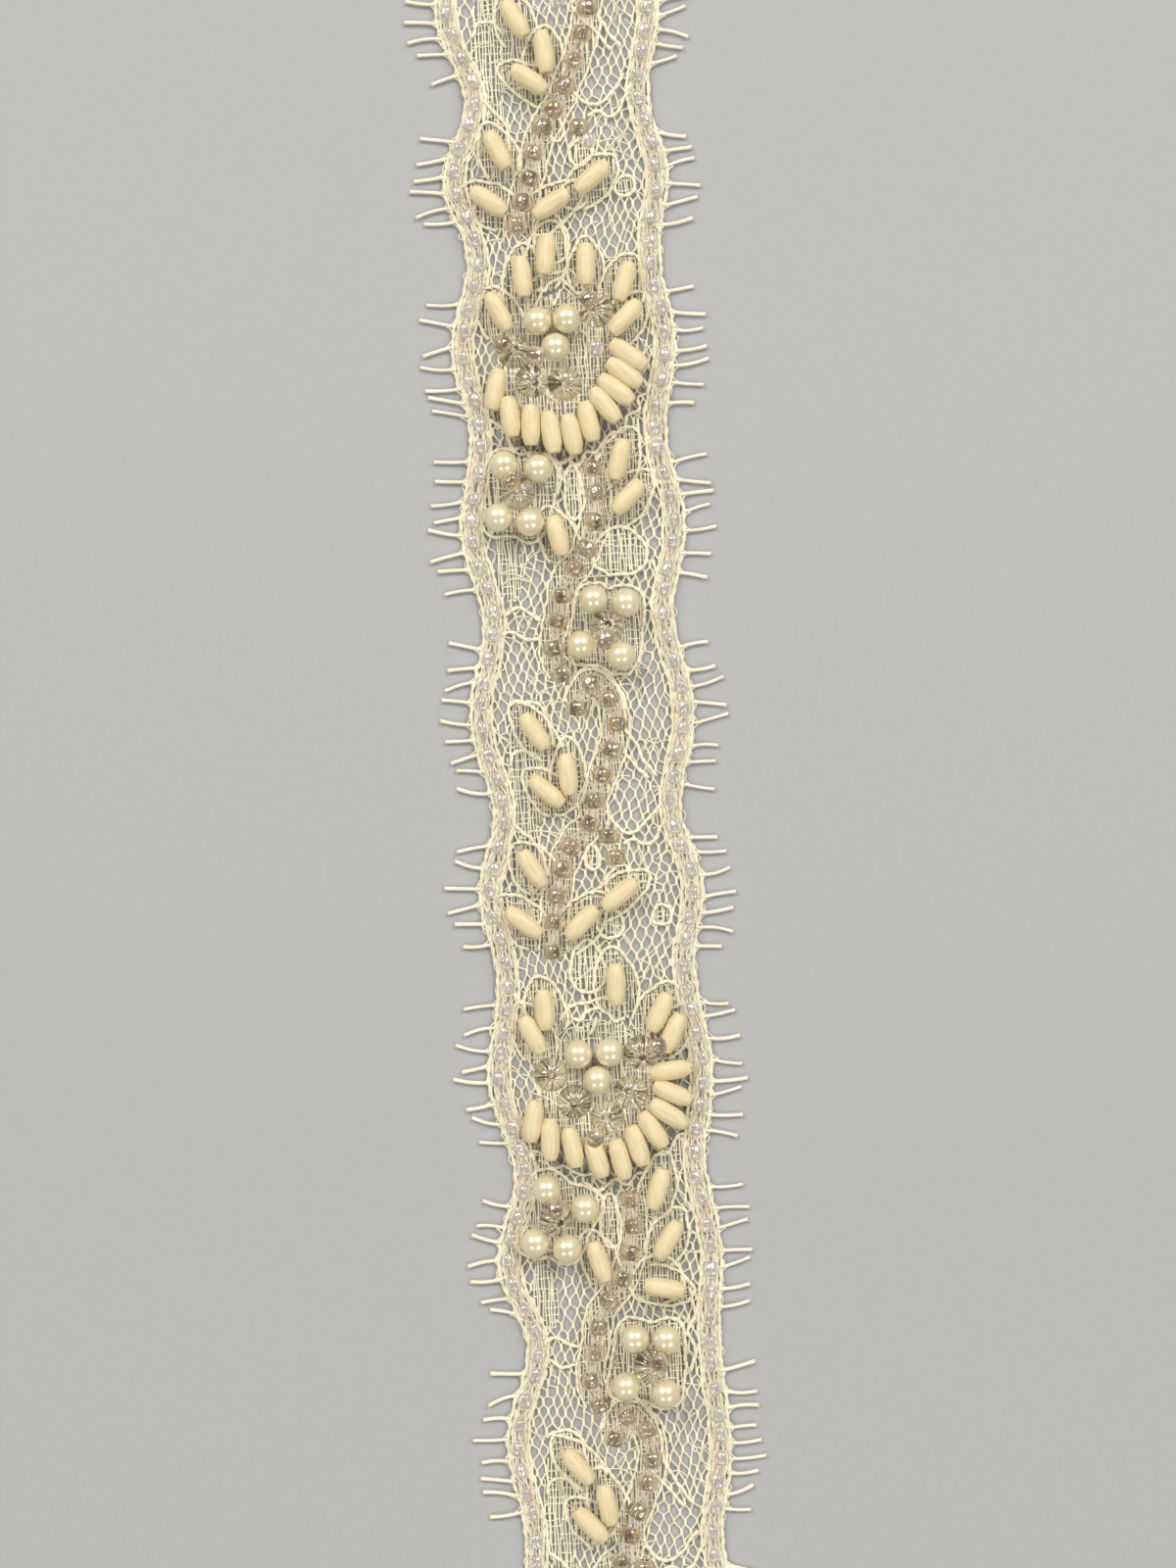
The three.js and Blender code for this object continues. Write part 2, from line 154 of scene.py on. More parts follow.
# Each flower's middle and the directions of its pearls.
FLOWERS = [
    ((-7.8, -7.7), (-18.3, -17.4), ((48, 114, 228, 289), (18, 104, 226, 288))),
    ((3.8, 4.6), (-38.0, -38.9), ((50, 113, 211, 294), (55, 116, 217, 297))),
]
VINE = {
    "stem": [
        (3.0, -15.2), (3.2, -18.2), (3.1, -21.6), (2.1, -25.1), (0.5, -28.2), (-1.9, -31.0), (-2.6, -34.0),
        (-3.3, -37.1), (-3.9, -40.7), (-2.8, -44.2),
    ],
    "hook": [
        (-1.1, -49.0), (-0.3, -46.9), (1.4, -45.7), (3.2, -47.2), (4.2, -49.6), (4.3, -52.2), (3.7, -55.2),
        (2.2, -58.8), (0.7, -62.2), (0.4, -65.2), (-2.4, -68.0), (-4.0, -71.2), (-5.2, -75.8), (-5.8, -79.6),
        (-6.2, -83.6),
    ],
    "upper_hook": [
        (5.7, -50.8), (5.4, -53.6), (4.8, -57.0), (3.7, -60.3), (2.4, -63.0), (1.2, -66.0), (-0.9, -69.1),
        (-2.8, -72.9), (-3.7, -76.5), (-4.9, -79.8), (-5.9, -84.4),
    ],
}
# Single seed beads in each repeat: taupe ones that branch off a hook, and clear ones.
TWIG = {-1: [(3.5, -70.8)], 0: [(2.4, -67.4), (3.2, -70.7)], 1: [(2.4, -67.4)]}
LOOSE = {-1: [(4.8, -72.6), (1.2, -52.5)], 0: [(4.4, 1.9)], 1: []}
# Small taupe seeds that stop the thread on a crystal's shoulder: across and along from its middle.
STOPPERS = {
    "crystal_01": (-1.0, 1.2), "crystal_02": (-1.7, 0.8), "crystal_03": (0.7, 3.1),
    "crystal_05": (-0.8, 1.5), "crystal_06": (-0.4, -1.6), "crystal_07": (2.5, 0.7),
    "crystal_10": (-1.7, -2.4), "crystal_12": (0.2, 1.6), "crystal_13": (1.4, 0.9),
}
STOPPER_RISE = 2.0  # height of a stopper's middle above its crystal's
CRYSTAL_LEAN = (0.1, 0.42)  # least and most that a crystal's hole leans from upright, in radians
CRYSTAL_TINT_AND_REFLECTION_STREAKS = 4.2  # how closely the streaks in a crystal follow each other round its hole: its tint and painted reflections

# Clothwork: across, along, half width, half length, turn in degrees, whether a cord runs round it.
CLOTH = [
    (0.0, 0.6, 9.6, 9.8, 0, False),
    (-8.0, 47.5, 3.4, 9.0, 0, False),
    (0.1, -18.4, 1.4, 3.9, 0, True),
    (6.2, -27.0, 3.8, 3.5, 0, True),
    (-9.8, -28.6, 2.0, 5.2, 4, False),
    (2.1, 24.1, 1.9, 2.1, 0, True),
    (9.6, 25.0, 1.4, 1.5, 0, True),
    (-1.4, 18.0, 2.4, 3.7, 0, True),
    (0.2, 33.5, 1.0, 1.9, 0, True),
    (3.6, 30.2, 1.6, 2.2, -30, True),
    (-9.6, 38.5, 1.5, 4.6, 30, False),
    (-9.2, -8.6, 1.3, 3.4, 30, False),
    (9.8, -9.6, 1.2, 3.6, -25, False),
]
LEAF_HALF = (2.8, 4.8)  # half width and half length of the clothwork round a leaf bead
LEAF_OPEN = 3  # corners that a leaf's cord leaves open on each side of its root
FLOWER_REACH = 5.1  # the flower's cord: how far out it runs, and how far it bulges round a pearl
FLOWER_LOBE = 2.0
FAN_CORD_TIP = 4.3  # how far from an oat bead's middle a fan's cord runs, round its tip and beside it
FAN_CORD_DIP = 3.3
CORDS = [
    [(-3.9, 10.7), (-2.6, 10.4), (-2.0, 11.5), (-0.3, 12.1), (1.0, 11.3), (2.1, 10.1), (3.6, 10.3)],
    [(-0.4, 10.7), (-1.6, 8.3)],
    [(-5.7, 10.4), (-4.2, 12.2), (-2.8, 12.8), (-1.4, 12.8), (-0.2, 13.3), (1.3, 13.3), (2.4, 11.9)],
    [(-3.4, -12.6), (-1.5, -14.1), (0.6, -12.8)],
    [(-1.5, -14.1), (-1.8, -16.4), (-2.4, -18.6)],
    [(-10.6, -35.4), (-8.7, -34.5), (-6.9, -35.6), (-5.4, -36.3)],
    [(-11.3, -38.2), (-9.4, -37.9), (-8.0, -39.0), (-5.8, -38.7)],
    [(10.8, -28.5), (11.4, -32.0), (10.3, -34.8), (11.2, -37.6), (10.2, -40.4)],
    [(-2.8, -48.1), (-1.9, -45.7), (-0.2, -43.6), (1.6, -43.3), (3.5, -44.9), (4.9, -46.8), (5.8, -50.1),
     (5.8, -52.7), (7.2, -54.8), (8.2, -56.9), (9.9, -59.3)],
    [(3.2, 51.0), (4.8, 48.9), (6.1, 47.4), (8.6, 44.4)],
    [(10.3, 40.9), (8.3, 38.5), (6.6, 37.1), (4.8, 36.9), (3.4, 38.3), (2.3, 40.1)],
    [(4.7, 35.3), (6.2, 35.9), (7.6, 35.0), (9.2, 35.9), (11.0, 39.1)],
    [(-10.8, 55.3), (-10.1, 55.9), (-7.8, 56.2), (-5.8, 55.1), (-5.1, 52.4), (-4.5, 49.5)],
    [(-11.0, 47.1), (-10.5, 48.9), (-8.8, 49.2), (-7.5, 48.6), (-6.5, 47.4)],
    [(-5.0, 39.8), (-3.3, 40.1), (-1.5, 41.5)],
    [(-11.3, 40.1), (-10.7, 38.5), (-8.8, 36.9), (-7.1, 34.8), (-6.7, 32.7), (-6.6, 30.6)],
]

# Threads of the lace.
NET_CELL = 1.4
NET_ROW = 1.5
NET_START = 0.4
NET_UPRIGHT = 0.7
NET_RADIUS = 0.135
NET_PAIR = 0.09
NET_HEIGHT = 0.45
# Waves that pull the net across and along: height, and phase for each millimetre across and along.
PULL_ACROSS = [(0.3, 0.2, 0.31), (0.22, -0.5, 0.83)]
PULL_ALONG = [(0.35, 0.45, 0.12), (0.25, 1.1, -0.2)]
SWELL = 0.12  # most that the lace rises or sinks
CLOTH_INSET = 0.3
CLOTH_HEIGHT = 0.5
WARP_PITCH = 0.41
WARP_RADIUS = 0.105
PICK_START = 0.6
PICK_PITCH = 1.0
PICK_STEP = 0.4
PICK_WEAVE = 0.09
PICK_RADIUS = 0.085
CORD_HEIGHT = 0.72
CORD_PLY = 0.17
CORD_STEP = 0.4
VINE_PLY = 0.125
VINE_CORD_REACH = 2.05
STRAYS = 420
STRAY_RADIUS = 0.085
STRAY_HEIGHT = 0.62
EDGE_BAND = 3.1
EDGE_CORDS = [(0.25, 0.18), (0.8, 0.15), (2.65, 0.14), (3.15, 0.17)]  # inset and ply of each
EDGE_CORD_HEIGHT = 0.55
EDGE_FINE = (0.5, 1.3, 2.1, 2.9)
EDGE_FINE_RADIUS = 0.09
EDGE_FINE_HEIGHT = 0.5
GRIP_RADIUS = 0.095
GRIP_CLEAR = 0.08
SEWING_RADIUS = 0.1
HOLD_STEPS = (-0.9, 0.05, 0.45, 0.62)  # how far past a bead's end the corners of its sewing thread lie
HOLD_FOOT = 0.55
HOLD_SINK = 0.1
KNOT_RADIUS = 0.17
KNOT_ROOT = -0.86  # where in a crystal's hole its thread starts and its knot sits, in half heights
KNOT_REACH = 0.45
BUNDLE_SPREAD = (-0.75, -0.3, 0.2, 0.7)  # how far the strands of a bundle swing to each side
BUNDLE_SAG = 0.9
THREAD_SIDES = 4
CORD_SIDES = 5
LASH_SIDES = 7
MASK_STEP = 0.1
MASK_HALF = 17.5

# The start of each piece's random numbers.
DRAWS = dict(
    leaves=97, net=11, clothwork=23, cords=31, edge_left=41, edge_right=43, lash_left=53, lash_right=59,
    oats=61, pearls=71, crystals=73, edge_seeds=83, vine_seeds=89,
)


def draws(piece):
    return np.random.default_rng(DRAWS[piece])


def swing(rng, most, count=None):
    """Random values of up to the given size, either way."""
    return rng.uniform(-most, most, count)


# Meshes

def linked(name, data):
    made = bpy.data.objects.new(name, data)
    bpy.context.collection.objects.link(made)
    return made


class Soup:
    """Many small closed shapes that become one mesh.

    Each point also keeps its bead's own coordinates, and whether it lies on the wall of the bead's hole,
    which takes a darker colour: the hole's own colour and painted shade in the hole.
    """

    def __init__(self):
        self.points = []
        self.faces = []
        self.marks = []
        self.lining_and_shade = []
        self.count = 0

    def add(self, points, faces, marks=None, lining_and_shade=None):
        self.points.append(points)
        self.faces.extend(rows + self.count for rows in faces)
        self.marks.append(np.zeros_like(points) if marks is None else marks)
        self.lining_and_shade.append(np.zeros(len(points)) if lining_and_shade is None else lining_and_shade)
        self.count += len(points)

    def lay(self, path, height, radius, sides=THREAD_SIDES):
        """A thread along a path across and along the lace, at one height or at one for each point."""
        self.add(*tube(np.c_[path, np.broadcast_to(height, len(path))], radius, sides))

    def piece(self, name, material, slot, nodes=()):
        corners = [face for rows in self.faces for face in rows.tolist()]
        mesh = bpy.data.meshes.new(name)
        mesh.from_pydata(np.concatenate(self.points) * MM, [], corners)
        mesh.shade_smooth()
        own = mesh.attributes.new("bead", "FLOAT_VECTOR", "POINT")
        own.data.foreach_set("vector", np.concatenate(self.marks).ravel())
        wall = mesh.attributes.new("lining_and_shade", "FLOAT", "POINT")
        wall.data.foreach_set("value", np.concatenate(self.lining_and_shade))
        mesh.validate()
        mesh.materials.append(material)
        made = linked(name, mesh)
        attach(made, "root")
        if nodes:
            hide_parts(*nodes)
        return made


def unit(vectors):
    return vectors / (np.linalg.norm(vectors, axis=1, keepdims=True) + 1e-9)


def walls(rings, sides):
    """The faces from each ring of corners to the next, and from the last one to the first."""
    here = np.arange(rings * sides).reshape(rings, sides)
    beside = np.roll(here, -1, axis=1)
    over, over_beside = np.roll(here, -1, axis=0), np.roll(beside, -1, axis=0)
    return np.stack([here, over, over_beside, beside], axis=-1).reshape(-1, 4)


def tube(path, radius, sides=THREAD_SIDES):
    """A closed tube: a ring of corners at each point of a path, nowhere upright, and flat caps."""
    along = unit(np.gradient(path, axis=0))
    side = unit(np.cross(along, UP))
    lift = np.cross(side, along)
    turn = 2 * np.pi * np.arange(sides)[:, None] / sides
    ring = np.cos(turn) * side[:, None] + np.sin(turn) * lift[:, None]
    radii = np.broadcast_to(radius, len(path))[:, None, None]
    points = (path[:, None] + radii * ring).reshape(-1, 3)
    first = np.arange(sides)[None, :]
    last = first[:, ::-1] + (len(path) - 1) * sides
    return points, [walls(len(path), sides)[:-sides], first, last]


def turned(profile, sides, flutes=0, depth=0.0):
    """A drilled bead about Y from a closed profile of (radius, height). Flutes fade at the widest ring."""
    profile = np.asarray(profile, float)
    turn = np.broadcast_to(2 * np.pi * np.arange(sides) / sides, (len(profile), sides))
    height = np.broadcast_to(profile[:, 1:], turn.shape)
    radius = profile[:, :1] * (1 + depth * np.abs(height / height.max()) * np.cos(flutes * turn))
    points = np.stack([radius * np.cos(turn), height, radius * np.sin(turn)], axis=-1).reshape(-1, 3)
    return points, [walls(len(profile), sides)]


def spun(first, second, angle):
    """Two of a bead's coordinates, turned about the third axis."""
    c, s = math.cos(angle), math.sin(angle)
    return c * first - s * second, s * first + c * second


def placed(points, across, along, height, turn, tilt=0.0, roll=0.0):
    """A bead's points rolled about its axis and tilted, with the axis turned the given way, and set down."""
    x, y, z = points.T
    x, z = spun(x, z, roll)
    y, z = spun(y, z, tilt)
    x, y = spun(x, y, turn - math.pi / 2)
    return np.c_[x + across, y + along, z + height]


# Paths

def run_along(path):
    """How far along a path each of its points lies."""
    return np.concatenate([[0.0], np.cumsum(np.linalg.norm(np.diff(path, axis=0), axis=1))])


def points_at(path, at):
    """The points that lie the given lengths along a path."""
    run = run_along(path)
    return np.column_stack([np.interp(at, run, column) for column in path.T])


def evenly(path, step):
    """The same path in steps of about one length, its ends kept."""
    path = np.asarray(path, float)
    whole = run_along(path)[-1]
    return points_at(path, np.linspace(0.0, whole, max(3, int(round(whole / step)) + 1)))


def smooth(points, closed=False, cuts=8):
    """A Catmull-Rom curve through charted points."""
    points = np.asarray(points, float)
    if closed:
        padded = np.concatenate([points[-1:], points, points[:2]])
    else:
        padded = np.concatenate([2 * points[:1] - points[1:2], points, 2 * points[-1:] - points[-2:-1]])
    share = np.linspace(0, 1, cuts, endpoint=False)[:, None]
    spans = []
    for a, b, c, d in zip(padded, padded[1:], padded[2:], padded[3:]):
        bend = 2 * a - 5 * b + 4 * c - d
        ease = 3 * b - a - 3 * c + d
        spans.append(0.5 * (2 * b + (c - a) * share + bend * share**2 + ease * share**3))
    spans.append(padded[-2:-1])
    return np.concatenate(spans)


def drift(rng, at, span, reach):
    """A slow wander: a random value every span, joined up."""
    knots = np.arange(at.min() - span, at.max() + 2 * span, span)
    return np.interp(at, knots, swing(rng, reach, len(knots)))


def sideways(path):
    """The level direction square to a path at each of its points."""
    along = unit(np.gradient(path, axis=0))
    return np.c_[-along[:, 1], along[:, 0]]


def wandering(rng, path, span, reach):
    """A level path pushed to one side and the other of its line."""
    return path + drift(rng, run_along(path), span, reach)[:, None] * sideways(path)


def runs(keep, least, extend=0):
    """The slice of each run of kept points, lengthened at both ends, that has at least so many points."""
    edges = np.flatnonzero(np.diff(np.concatenate([[False], keep, [False]]).astype(int)))
    for first, after in zip(edges[::2], edges[1::2]):
        first, after = max(0, first - extend), min(len(keep), after + extend)
        if after - first >= least:
            yield slice(first, after)


def uneven(place, use):
    """A number from -1 to 1 for each place and use, as the part's source varies its strands."""
    wave = math.sin(place * 12.9898 + use * 78.233) * 43758.5453
    return 2 * (wave - math.floor(wave)) - 1


def half_width(along, edge):
    """The half width of one edge, swelling as a smooth wave from each hollow to the next."""
    along = np.asarray(along, float)
    place, width = HOLLOWS[:, 0], HOLLOWS[:, 1 if edge == "left" else 2]
    low = np.clip(np.searchsorted(place, along, side="right") - 1, 0, len(place) - 2)
    share = (along - place[low]) / (place[low + 1] - place[low])
    drawn_in = width[low] + (width[low + 1] - width[low]) * share
    return drawn_in + (BULGE[edge] - drawn_in) * np.sin(np.pi * share) ** 2


def edge_path(edge, inset, step=0.4, margin=0.0):
    along = np.arange(margin - LENGTH / 2, LENGTH / 2 - margin + step / 2, step)
    return np.c_[SIDES[edge] * (half_width(along, edge) - inset), along]


def edge_string(edge):
    """The line of the seed beads along one edge."""
    return edge_path(edge, EDGE_SEED_INSET, step=0.5, margin=STRING_MARGIN)


# The chart, repeated

def rows_of(chart, index):
    """The chart's rows in one repeat, moved to its rosette."""
    rows = []
    for row in chart:
        if len(row) == 4 and row[3] != index:
            continue
        across, along, turn = [value[index] if isinstance(value, tuple) else value for value in row[:3]]
        rows.append((across, along + ROSETTES[index], turn))
    return rows


def oat_rows(*charts):
    """The oat beads of these charts and of all leaves: across, along, turn in degrees."""
    rows = []
    for index in (0, 1):
        for chart in (*charts, *LEAVES.values()):
            rows += rows_of(chart, index)
    return rows + rows_of(LEAVES["spray"], 2)


def vine_paths():
    """The stretches of vine that lie on the cut length."""
    paths = []
    for kind, index in [("upper_hook", -1), ("stem", 0), ("hook", 0), ("stem", 1), ("hook", 1)]:
        path = smooth(VINE[kind]) + (0.0, ROSETTES[index])
        paths.append(path[np.abs(path[:, 1]) < LENGTH / 2 - STRING_MARGIN])
    return paths


def egg(across, along, half_across, half_along, turn, corners=28, taper=0.18):
    """A closed leaf shape, a little narrower at its far end."""
    angle = 2 * np.pi * np.arange(corners) / corners
    u = half_along * np.cos(angle)
    v = half_across * np.sin(angle) * (1 - taper * np.cos(angle))
    c, s = math.cos(turn), math.sin(turn)
    return np.c_[across + c * u - s * v, along + s * u + c * v]


def lobes(across, along, angles, step=6, width=0.5):
    """A closed outline that bulges round each of a flower's pearls."""
    turn = np.radians(np.arange(0, 360, step))
    apart = np.min([np.abs(np.angle(np.exp(1j * (turn - math.radians(a))))) for a in angles], axis=0)
    out = FLOWER_REACH + FLOWER_LOBE * np.exp(-((apart / width) ** 2))
    return np.c_[across + out * np.cos(turn), along + out * np.sin(turn)]


def fan_outline(index):
    """The scalloped cord below a rosette's fan: round each oat bead's tip, and in between it and the next."""
    rows = [np.array((x, y, math.radians(turn))) for x, y, turn in rows_of(FAN, index)]
    line = []
    for here, ahead in zip(rows, rows[1:]):
        for (x, y, turn), reach in ((here, FAN_CORD_TIP), ((here + ahead) / 2, FAN_CORD_DIP)):
            line.append((x + reach * math.cos(turn), y + reach * math.sin(turn)))
    return smooth(line, cuts=6)


def outlines():
    """(closed outlines that clothwork fills, cords that run over it, each with the radius of its plies)."""
    rng = draws("leaves")
    cloth, cords = [], []
    for rosette in ROSETTES.values():
        for across, along, wide, long, turn, corded in CLOTH:
            shape = egg(across, along + rosette, wide, long, math.radians(turn + 90))
            cloth.append(shape)
            if corded:
                cords.append((smooth(shape, closed=True, cuts=2), CORD_PLY))
        cords.extend((smooth(chart) + (0.0, rosette), CORD_PLY) for chart in CORDS)
    for index in (0, 1):
        cords.append((fan_outline(index), CORD_PLY))
        for across, along, angles in rows_of(FLOWERS, index):
            shape = lobes(across, along, angles)
            cloth.append(shape)
            cords.append((np.concatenate([shape, shape[:1]]), CORD_PLY))
    for across, along, turn in oat_rows(CROWN):
        wide, long = LEAF_HALF * rng.uniform(0.88, 1.14, 2)
        lean = swing(rng, 9)
        shape = egg(across, along, wide, long, math.radians(turn + lean))
        cloth.append(shape)
        arch = np.roll(shape, -(len(shape) // 2 + LEAF_OPEN), axis=0)
        cords.append((arch[:len(shape) - 2 * LEAF_OPEN], CORD_PLY))
    for path in vine_paths():
        beside = VINE_CORD_REACH * sideways(path)
        cloth.append(np.concatenate([path + beside, (path - beside)[::-1]]))
        cords.extend([(path + beside, VINE_PLY), (path - beside, VINE_PLY)])
    return cloth, cords


class Ground:
    """Where the clothwork lies, on a fine grid over the whole lace."""

    def __init__(self, shapes):
        self.x = np.arange(-MASK_HALF, MASK_HALF, MASK_STEP)
        self.y = np.arange(-LENGTH / 2, LENGTH / 2, MASK_STEP)
        self.cloth = np.zeros((len(self.y), len(self.x)), bool)
        for shape in shapes:
            self.fill(shape)

    def fill(self, shape):
        low, high = shape.min(axis=0), shape.max(axis=0)
        columns = np.flatnonzero((self.x >= low[0]) & (self.x <= high[0]))
        rows = np.flatnonzero((self.y >= low[1]) & (self.y <= high[1]))
        x, y = np.meshgrid(self.x[columns], self.y[rows])
        inside = np.zeros(x.shape, bool)
        for (x0, y0), (x1, y1) in zip(shape, np.roll(shape, -1, axis=0)):
            if y0 == y1:
                continue
            crosses = (y0 > y) != (y1 > y)
            inside ^= crosses & (x < (x1 - x0) * (y - y0) / (y1 - y0) + x0)
        self.cloth[np.ix_(rows, columns)] |= inside

    def inset(self, x, y):
        """How far a point lies inside the lace's outermost thread."""
        return np.minimum(half_width(y, "right") - x, half_width(y, "left") + x)

    def at(self, x, y):
        column = np.clip(np.round((x + MASK_HALF) / MASK_STEP).astype(int), 0, len(self.x) - 1)
        row = np.clip(np.round((y + LENGTH / 2) / MASK_STEP).astype(int), 0, len(self.y) - 1)
        return self.cloth[row, column]

    def is_cloth(self, x, y):
        inset = self.inset(x, y)
        return (inset > CLOTH_INSET) & ((inset < EDGE_BAND) | self.at(x, y))

    def is_net(self, x, y):
        return (self.inset(x, y) >= EDGE_BAND) & ~self.at(x, y)


# Lace

def swell(x, y):
    """Soft unevenness of the lace's height."""
    return SWELL * np.sin(x * 0.55 + y * 0.11) * np.sin(y * 0.23 + 1.3)


def pull(waves, x, y):
    """How far some waves move each point."""
    return sum(height * np.sin(across * x + along * y) for height, across, along in waves)


def add_net(soup, ground):
    """Hexagonal net: threads that zigzag along the length and pair up on each cell's upright sides."""
    rng = draws("net")
    half = NET_CELL / 2
    columns = int(MASK_HALF / half) + 2
    row = np.arange(int(LENGTH / NET_ROW) + 1)
    place = np.arange(-columns, columns + 2)
    even_x, even_y = np.meshgrid(place * half, row * NET_ROW - LENGTH / 2 + NET_START, indexing="ij")
    stray_x, stray_y = swing(rng, 0.13, even_x.shape), swing(rng, 0.16, even_x.shape)
    x = even_x + pull(PULL_ACROSS, even_x, even_y) + stray_x
    y = even_y + pull(PULL_ALONG, even_x, even_y) + stray_y
    upright = NET_UPRIGHT * rng.uniform(0.7, 1.4, x.shape)
    for thread in range(-columns, columns + 1):
        over = (thread + row) % 2
        column = thread + columns + over
        gap = np.where(over == 0, NET_PAIR, -NET_PAIR)
        px = np.repeat(x[column, row] + gap, 2)
        reach = upright[column, row] / 2
        py = np.c_[y[column, row] - reach, y[column, row] + reach].ravel()
        keep = ground.is_net(px, py) & (np.abs(py) < LENGTH / 2)
        path = np.c_[px, py, NET_HEIGHT + swell(px, py)]
        for stretch in runs(keep, least=3, extend=1):
            soup.add(*tube(path[stretch], NET_RADIUS))


def add_warps(soup, ground, rng):
    """Threads of the clothwork along the length. In the edge band only every other one runs."""
    fine = np.arange(-LENGTH / 2, LENGTH / 2, step=0.25)
    for count, start in enumerate(np.arange(-MASK_HALF, MASK_HALF, WARP_PITCH)):
        stray = swing(rng, 0.09)
        x = start + stray + drift(rng, fine, span=1.7, reach=0.17)
        keep = ground.is_cloth(x, fine)
        if count % 2:
            keep &= ground.inset(x, fine) > EDGE_BAND
        for stretch in runs(keep, least=5):
            path = evenly(np.c_[x, fine][stretch], step=1.0)
            height = CLOTH_HEIGHT + swell(*path.T) + drift(rng, path[:, 1], span=1.2, reach=0.06)
            size = rng.uniform(0.75, 1.25)
            soup.lay(path, height, size * WARP_RADIUS)


def add_picks(soup, ground, rng):
    """Short thin threads across the warps, over one and under the next."""
    for start in np.arange(PICK_START - LENGTH / 2, LENGTH / 2, PICK_PITCH):
        left = rng.uniform(-2, 0) - MASK_HALF
        while left < MASK_HALF:
            reach = rng.uniform(1.2, 3.4)
            x = np.arange(left, left + reach, PICK_STEP)
            stray = swing(rng, 0.3)
            y = start + stray + drift(rng, x, span=0.9, reach=0.15)
            for stretch in runs(ground.is_cloth(x, y) & (np.abs(y) < LENGTH / 2), least=3):
                path = np.c_[x, y][stretch]
                weave = PICK_WEAVE * np.where(np.arange(len(path)) % 2, 1, -1)
                soup.lay(path, CLOTH_HEIGHT + swell(*path.T) + weave, PICK_RADIUS)
            gap = rng.uniform(-0.4, 1.0)
            left += reach + gap


def add_clothwork(soup, ground):
    rng = draws("clothwork")
    add_warps(soup, ground, rng)
    add_picks(soup, ground, rng)


def add_plied(soup, path, height, ply, rng, reach=0.2, twist=2.4):
    """A cord of two plies that wind round each other along a wandering line."""
    path = wandering(rng, evenly(path, CORD_STEP), span=1.1, reach=reach)
    keep = np.abs(path[:, 1]) < LENGTH / 2
    phase = rng.uniform(0, 2 * np.pi) + 2 * np.pi * CORD_STEP * np.arange(len(path)) / twist
    beside = sideways(path)
    apart, lift = 0.75 * ply, 0.5 * ply
    for side in (-1, 1):
        line = path + side * apart * np.cos(phase)[:, None] * beside
        rise = height + swell(*path.T) + side * lift * np.sin(phase)
        for stretch in runs(keep, least=3):
            soup.lay(line[stretch], rise[stretch], ply, CORD_SIDES)


def clipped(path, ground, inset):
    """The stretches of a cord that lie inside the lace."""
    path = evenly(path, step=0.3)
    keep = (ground.inset(*path.T) > inset) & (np.abs(path[:, 1]) < LENGTH / 2)
    return [path[stretch] for stretch in runs(keep, least=6)]


def add_strays(soup, ground, rng):
    """Short loose threads that wander over the lace."""
    half, step, steps, ease = 14.5, 0.42, np.arange(12.0), 0.3
    for _ in range(STRAYS):
        heading = math.pi / 2 + swing(rng, 1.1)
        bend = swing(rng, 0.5)
        turning = bend + drift(rng, steps, span=3.0, reach=0.7)
        way = heading + np.cumsum(turning) * ease
        start = np.array((swing(rng, half), swing(rng, LENGTH / 2)))
        path = start + step * np.cumsum(np.c_[np.cos(way), np.sin(way)], axis=0)
        for stretch in clipped(path, ground, inset=0.2):
            height = STRAY_HEIGHT + drift(rng, np.arange(float(len(stretch))), span=4.0, reach=0.12)
            soup.lay(stretch, height, STRAY_RADIUS)


def cordonnet(cords, ground, material):
    """The raised outline cords, and the loose threads among them."""
    rng = draws("cords")
    soup = Soup()
    for cord, ply in cords:
        for path in clipped(cord, ground, inset=0.6):
            add_plied(soup, path, CORD_HEIGHT, ply, rng)
    add_strays(soup, ground, rng)
    return soup.piece("cordonnet", material, "lace")


def add_grip(soup, path, seed, rng):
    """Threads that lie on both flanks of a string's beads and close in between one bead and the next."""
    radius = SEED_PLUMP * seed["radius"]
    for side in (-1, 1):
        points = []
        for *spot, turn in string_places(path, seed):
            spot = np.array(spot)
            square = np.array((-math.sin(turn), math.cos(turn)))
            ahead = 0.5 * seed["pitch"] * np.array((math.cos(turn), math.sin(turn)))
            share = rng.uniform(0.62, 0.95)
            flank = spot + side * share * radius * square
            rise = seed["radius"] + radius * math.sqrt(1 - share**2) + GRIP_CLEAR
            points.append((*flank, BEAD_FLOOR + rise))
            apart = rng.uniform(0.15, 0.5)
            waist = spot + ahead + side * apart * square
            rise = rng.uniform(0.2, 0.9)
            points.append((*waist, BEAD_FLOOR + rise))
        soup.add(*tube(smooth(points, cuts=4), GRIP_RADIUS))


def add_loops(soup, edge, rng):
    """Thin loops of thread that stand out past the outermost cord."""
    sink, height, rise, radius = 0.35, 0.4, 0.2, 0.085
    share = np.linspace(0, 1, 9)
    arch = np.sin(np.pi * share)
    place, end = 1.5 - LENGTH / 2, LENGTH / 2 - 3.5
    while place < end:
        span = rng.uniform(1.2, 2.4)
        reach = rng.uniform(0.25, 0.75)
        out = reach * arch - sink
        along = place + span * share
        path = np.c_[SIDES[edge] * (half_width(along, edge) + out), along]
        soup.lay(path, height + rise * arch, radius)
        gap = rng.uniform(0.1, 1.6)
        place += span + gap


